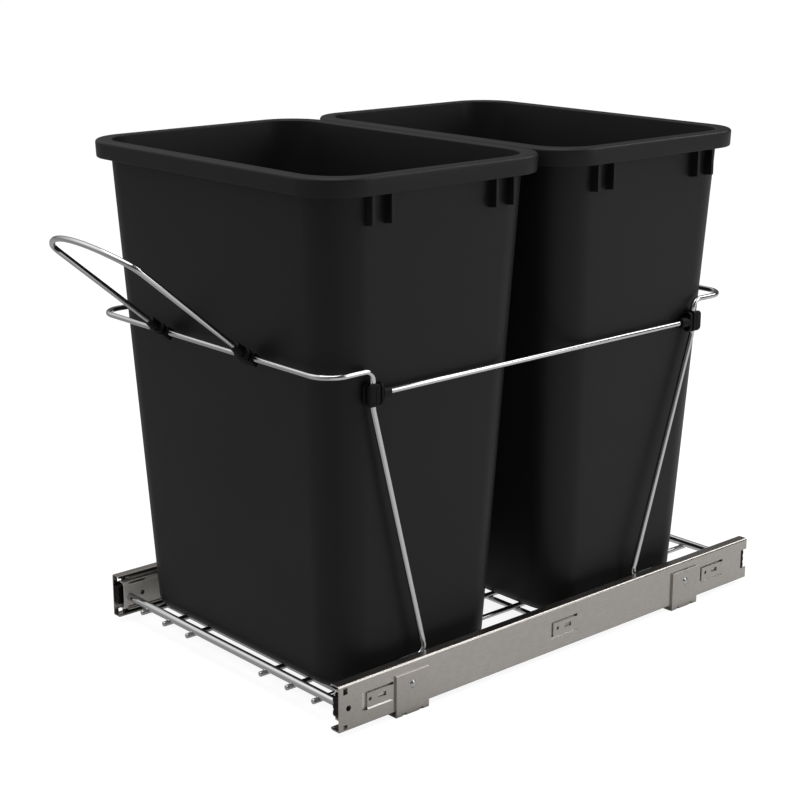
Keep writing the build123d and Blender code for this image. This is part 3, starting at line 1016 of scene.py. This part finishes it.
@dataclass
class Handle:
    """Wire handle leaning out from the front rail, on two clips that turn on the rail."""

    carrier: WireCarrier
    half: float = 64.6
    lean: float = 39.9
    apex: float = 168.6
    arc: float = 90.0
    bend: float = 18.0
    start: float = 5.5

    @property
    def pivot(self) -> np.ndarray:
        """Point of the rail's axis midway between the clips."""
        return np.array([0, self.carrier.middle_y - self.carrier.rail_reach, self.carrier.rail_z])

    @property
    def reach(self) -> tuple[float, float, float]:
        """Direction from the rail to the handle's end."""
        lean = math.radians(self.lean)
        return (0, -math.cos(lean), math.sin(lean))

    def loop(self) -> Skin:
        """Handle wire: straight legs, a small bend each and a flat bow between them.

        The small bend touches the leg and, from inside, the bow, so its centre lies bow minus bend
        from the bow's centre.

        Returns:
            The closed surface.
        """
        bow_y = self.apex - self.arc
        bend_x = self.half - self.bend
        bend_y = bow_y + math.sqrt((self.arc - self.bend) ** 2 - bend_x**2)
        turn = math.atan2(bend_y - bow_y, bend_x)
        small = np.linspace(0, turn, 10)
        wide = np.linspace(turn, math.pi - turn, 40)[1:-1]
        bend = np.stack([bend_x + self.bend * np.cos(small), bend_y + self.bend * np.sin(small)], -1)
        bow = np.stack([self.arc * np.cos(wide), bow_y + self.arc * np.sin(wide)], -1)
        foot = np.array([[self.half, self.start]])
        right = np.concatenate([foot, bend])
        flat = np.concatenate([right, bow, (right * (-1, 1))[::-1]])
        path = self.pivot + flat[:, :1] * np.array([1, 0, 0]) + flat[:, 1:] * np.array(self.reach)
        return wire_skin(path, self.carrier.wire, self.carrier.end_edge)

    def clip(self, side: Side) -> Clip:
        """Clip that turns on the rail."""
        origin = tuple(self.pivot + np.array([side.value * self.half, 0, 0]))
        return Clip(origin, self.reach, (1, 0, 0))

    def dress(self, chrome: bpy.types.Material, nylon: bpy.types.Material) -> None:
        """Make the handle and its clips.

        Args:
            chrome: Finish of the wire.
            nylon: Finish of the clips.
        """
        settle(make_piece("handle_loop_wire", self.loop(), chrome), "handle", "chrome_wire", "handle_loop")
        for side in Side:
            node = f"{side.word}_handle_clip"
            piece = make_piece(f"{node}_moulding", self.clip(side).skin(), nylon)
            settle(piece, "handle", "black_plastic", node)


@dataclass
class Slides:
    """Ball-bearing slides, floor brackets and their small plastic parts.

    The punched and rolled shapes of these CAD nodes are right as they are, so each one stays and gets
    its finish.
    """

    frame: dict[str, Any]

    def coat(self, node: str, material: bpy.types.Material) -> None:
        """Give a CAD node its finish.

        Args:
            node: CAD node.
            material: Its finish.
        """
        materials = self.frame["nodes"][node].data.materials
        materials.clear()
        materials.append(material)
        LOG.info("%s keeps its CAD shape in %s", node, material.name)

    def dress(self, finishes: dict[str, bpy.types.Material]) -> None:
        """Finish every piece of the slides.

        Args:
            finishes: Materials by finish name.
        """
        kinds = {
            "cabinet_member": "slide_steel",
            # The middle and drawer members get the lightened zinc, which is painted light inside the
            # channels.
            "middle_member": "channel_steel_painted_light",
            "drawer_member": "channel_steel_painted_light",
            "front_bumper": "black_plastic",
            "rear_stop": "black_plastic",
            "front_bracket": "bracket_steel",
            "rear_bracket": "bracket_steel",
            "outer_cage": "cage_steel",
            "inner_cage": "cage_steel",
            "outer_balls": "ball_steel",
            "inner_balls": "ball_steel",
        }
        for side in Side:
            for kind, finish in kinds.items():
                self.coat(f"{side.word}_{kind}", finishes[finish])
        self.coat("bracket_rivets", finishes["rivet_steel"])


@dataclass
class Studio:
    """White floor, soft lights and the camera at the photograph's place."""

    camera_at: tuple[float, float, float] = (1.25263, -1.14971, 0.69322)
    azimuth: float = 48.547
    elevation: float = 15.645
    lens: float = 79.46
    sensor: float = 36.0
    aim: tuple[float, float, float] = (0.0, 0.0, 0.25)
    floor_half: float = 30.0
    floor_glow: float = 0.8
    glow_level: float = 1.13
    right_way: tuple[float, float, float] = (0.662, 0.75, 0.0)
    right_from: float = -0.1
    right_to: float = 0.06
    mirror_right: float = 0.74
    mirror_left: float = 0.38
    front_way: tuple[float, float, float] = (1.0, -0.45, 0.0)
    front_from: float = -0.15
    front_to: float = 0.08
    mirror_behind: float = 0.75
    contact: float = 0.015
    contact_closed: float = 0.35
    contact_open: float = 0.95
    contact_dark: float = 0.1
    key_way: tuple[float, float, float] = (-0.45, -0.35, 0.82)
    sky_stops: tuple[tuple[float, float], ...] = ((0.0, 0.06), (0.45, 0.19), (0.85, 1.0), (0.97, 1.6))

    def camera(self) -> None:
        """Add the camera, level and looking along its azimuth and elevation."""
        azimuth = math.radians(self.azimuth)
        elevation = math.radians(self.elevation)
        level = math.cos(elevation)
        look = Vector((-math.sin(azimuth) * level, math.cos(azimuth) * level, -math.sin(elevation)))
        data = bpy.data.cameras.new("view")
        data.lens = self.lens
        data.sensor_width = self.sensor
        view = bpy.data.objects.new("view", data)
        view.location = self.camera_at
        view.rotation_euler = look.to_track_quat("-Z", "Y").to_euler()
        bpy.context.scene.collection.objects.link(view)
        bpy.context.scene.camera = view

    def floor(self) -> None:
        """Add the pale floor: white to the camera, with a trace of the object's shadow.

        What the object mirrors of the floor carries painted shade: its glow falls off to the left and
        behind, as in a studio whose light stands on the right, and darkens where the floor lies close
        under the object, as a painted contact shadow.
        """
        material, tree, surface = new_material("white_studio_floor")
        seen = add_node(tree, "ShaderNodeLightPath", {})
        pale = add_node(tree, "ShaderNodeBsdfDiffuse", {"Color": linear("#f4f4f4")})
        place = add_node(tree, "ShaderNodeTexCoord", {}).outputs["Object"]
        # Painted shade: the floor's glow, as the object mirrors it, falls off to the left and behind.
        rightward = add_node(
            tree, "ShaderNodeVectorMath", {0: place, 1: self.right_way}, operation="DOT_PRODUCT"
        )
        fall = add_node(
            tree,
            "ShaderNodeMapRange",
            {
                "Value": rightward.outputs["Value"],
                "From Min": self.right_from,
                "From Max": self.right_to,
                "To Min": self.mirror_left,
                "To Max": self.mirror_right,
            },
        )
        forward = add_node(
            tree, "ShaderNodeVectorMath", {0: place, 1: self.front_way}, operation="DOT_PRODUCT"
        )
        behind = add_node(
            tree,
            "ShaderNodeMapRange",
            {
                "Value": forward.outputs["Value"],
                "From Min": self.front_from,
                "From Max": self.front_to,
                "To Min": self.mirror_behind,
                "To Max": 1.0,
            },
        )
        # Painted contact shadow: where occlusion finds the object close above, the floor's mirrored glow is
        # dimmed.
        openness = add_node(tree, "ShaderNodeAmbientOcclusion", {"Distance": self.contact}, samples=8)
        near = add_node(
            tree,
            "ShaderNodeMapRange",
            {
                "Value": openness.outputs["AO"],
                "From Min": self.contact_closed,
                "From Max": self.contact_open,
                "To Min": self.contact_dark,
                "To Max": 1.0,
            },
        )
        spread = add_node(
            tree,
            "ShaderNodeMath",
            {0: fall.outputs["Result"], 1: behind.outputs["Result"]},
            operation="MULTIPLY",
        )
        mirrored = add_node(
            tree,
            "ShaderNodeMath",
            {0: spread.outputs["Value"], 1: near.outputs["Result"]},
            operation="MULTIPLY",
        )
        level = add_node(
            tree,
            "ShaderNodeMix",
            {0: seen.outputs["Is Glossy Ray"], 2: self.glow_level, 3: mirrored.outputs["Value"]},
        )
        white = add_node(tree, "ShaderNodeEmission", {"Color": (1, 1, 1, 1), "Strength": level.outputs[0]})
        shown = add_node(
            tree,
            "ShaderNodeMath",
            {0: seen.outputs["Is Camera Ray"], 1: seen.outputs["Is Glossy Ray"]},
            operation="MAXIMUM",
        )
        clear = add_node(
            tree,
            "ShaderNodeMath",
            {0: shown.outputs["Value"], 1: seen.outputs["Is Transmission Ray"]},
            operation="MAXIMUM",
        )
        share = add_node(
            tree, "ShaderNodeMath", {0: clear.outputs["Value"], 1: self.floor_glow}, operation="MULTIPLY"
        )
        mixed = add_node(
            tree, "ShaderNodeMixShader", {0: share.outputs["Value"], 1: pale.outputs[0], 2: white.outputs[0]}
        )
        tree.links.new(mixed.outputs[0], surface)
        half = self.floor_half
        mesh = bpy.data.meshes.new("studio_floor")
        corners = [(-half, -half, 0), (half, -half, 0), (half, half, 0), (-half, half, 0)]
        mesh.from_pydata(corners, [], [(0, 1, 2, 3)])
        mesh.materials.append(material)
        floor = bpy.data.objects.new("studio_floor", mesh)
        bpy.context.scene.collection.objects.link(floor)

    def sky(self) -> None:
        """Light the scene softly, brightest about the key way, and show white to the camera.

        The dot product of a direction with the key way gives the place on a ramp of grey levels.
        """
        world = bpy.data.worlds.new("studio")
        world.use_nodes = True
        bpy.context.scene.world = world
        tree = world.node_tree
        tree.nodes.clear()
        way = add_node(tree, "ShaderNodeTexCoord", {})
        near_key = add_node(
            tree,
            "ShaderNodeVectorMath",
            {0: way.outputs["Generated"], 1: self.key_way},
            operation="DOT_PRODUCT",
        )
        ramp = add_node(tree, "ShaderNodeValToRGB", {"Fac": near_key.outputs["Value"]})
        stops = ramp.color_ramp.elements
        stops.remove(stops[1])
        stops[0].position = self.sky_stops[0][0]
        for position, _ in self.sky_stops[1:]:
            stops.new(position)
        for stop, (_, grey) in zip(stops, self.sky_stops):
            stop.color = (grey, grey, grey, 1)
        seen = add_node(tree, "ShaderNodeLightPath", {})
        studio = add_node(tree, "ShaderNodeBackground", {"Color": ramp.outputs["Color"], "Strength": 1.0})
        white = add_node(tree, "ShaderNodeBackground", {"Color": (1, 1, 1, 1), "Strength": 1.0})
        mixed = add_node(
            tree,
            "ShaderNodeMixShader",
            {0: seen.outputs["Is Camera Ray"], 1: studio.outputs[0], 2: white.outputs[0]},
        )
        output = add_node(tree, "ShaderNodeOutputWorld", {})
        tree.links.new(mixed.outputs[0], output.inputs["Surface"])

    def lamp(
        self, name: str, at: tuple[float, float, float], size: tuple[float, float], watts: float
    ) -> None:
        """Add a soft rectangular lamp that looks at the middle of the object.

        Args:
            name: Name of the lamp.
            at: Place in metres.
            size: Width and height in metres.
            watts: Power.
        """
        data = bpy.data.lights.new(name, "AREA")
        data.shape = "RECTANGLE"
        data.size, data.size_y = size
        data.energy = watts
        lamp = bpy.data.objects.new(name, data)
        lamp.location = at
        lamp.rotation_euler = (Vector(self.aim) - Vector(at)).to_track_quat("-Z", "Y").to_euler()
        bpy.context.scene.collection.objects.link(lamp)

    def build(self) -> None:
        """Set the stage."""
        bpy.context.scene.view_settings.view_transform = "Standard"
        self.camera()
        self.floor()
        self.sky()
        self.lamp("overhead", at=(0.2, -0.3, 2.4), size=(1.5, 1.5), watts=30.0)
        self.lamp("back_right", at=(1.6, 1.0, 1.1), size=(0.9, 1.6), watts=13.0)
        self.lamp("back_high", at=(0.6, 1.95, 2.0), size=(0.8, 1.6), watts=20.0)


def main() -> None:
    """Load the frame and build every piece."""
    logging.basicConfig(level=logging.INFO, format="%(name)s: %(message)s")
    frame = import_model()
    plastic = BIN_POLYPROPYLENE.material()
    nylon = CLIP_NYLON.material()
    chrome = WIRE_CHROME.material()
    finishes = {
        "black_plastic": nylon,
        "slide_steel": SLIDE_ZINC.material(),
        "channel_steel_painted_light": CHANNEL_ZINC_PAINTED_LIGHT.material(),
        "bracket_steel": BRACKET_ZINC.material(),
        "rivet_steel": RIVET_ZINC.material(),
        "cage_steel": CAGE_STRIP.material(),
        "ball_steel": BALL_STEEL.material(),
    }
    Studio().build()
    for end in End:
        Bin(end).dress(plastic)
    carrier = WireCarrier()
    carrier.dress(chrome, nylon)
    Handle(carrier).dress(chrome, nylon)
    Slides(frame).dress(finishes)


if __name__ == "__main__":
    main()
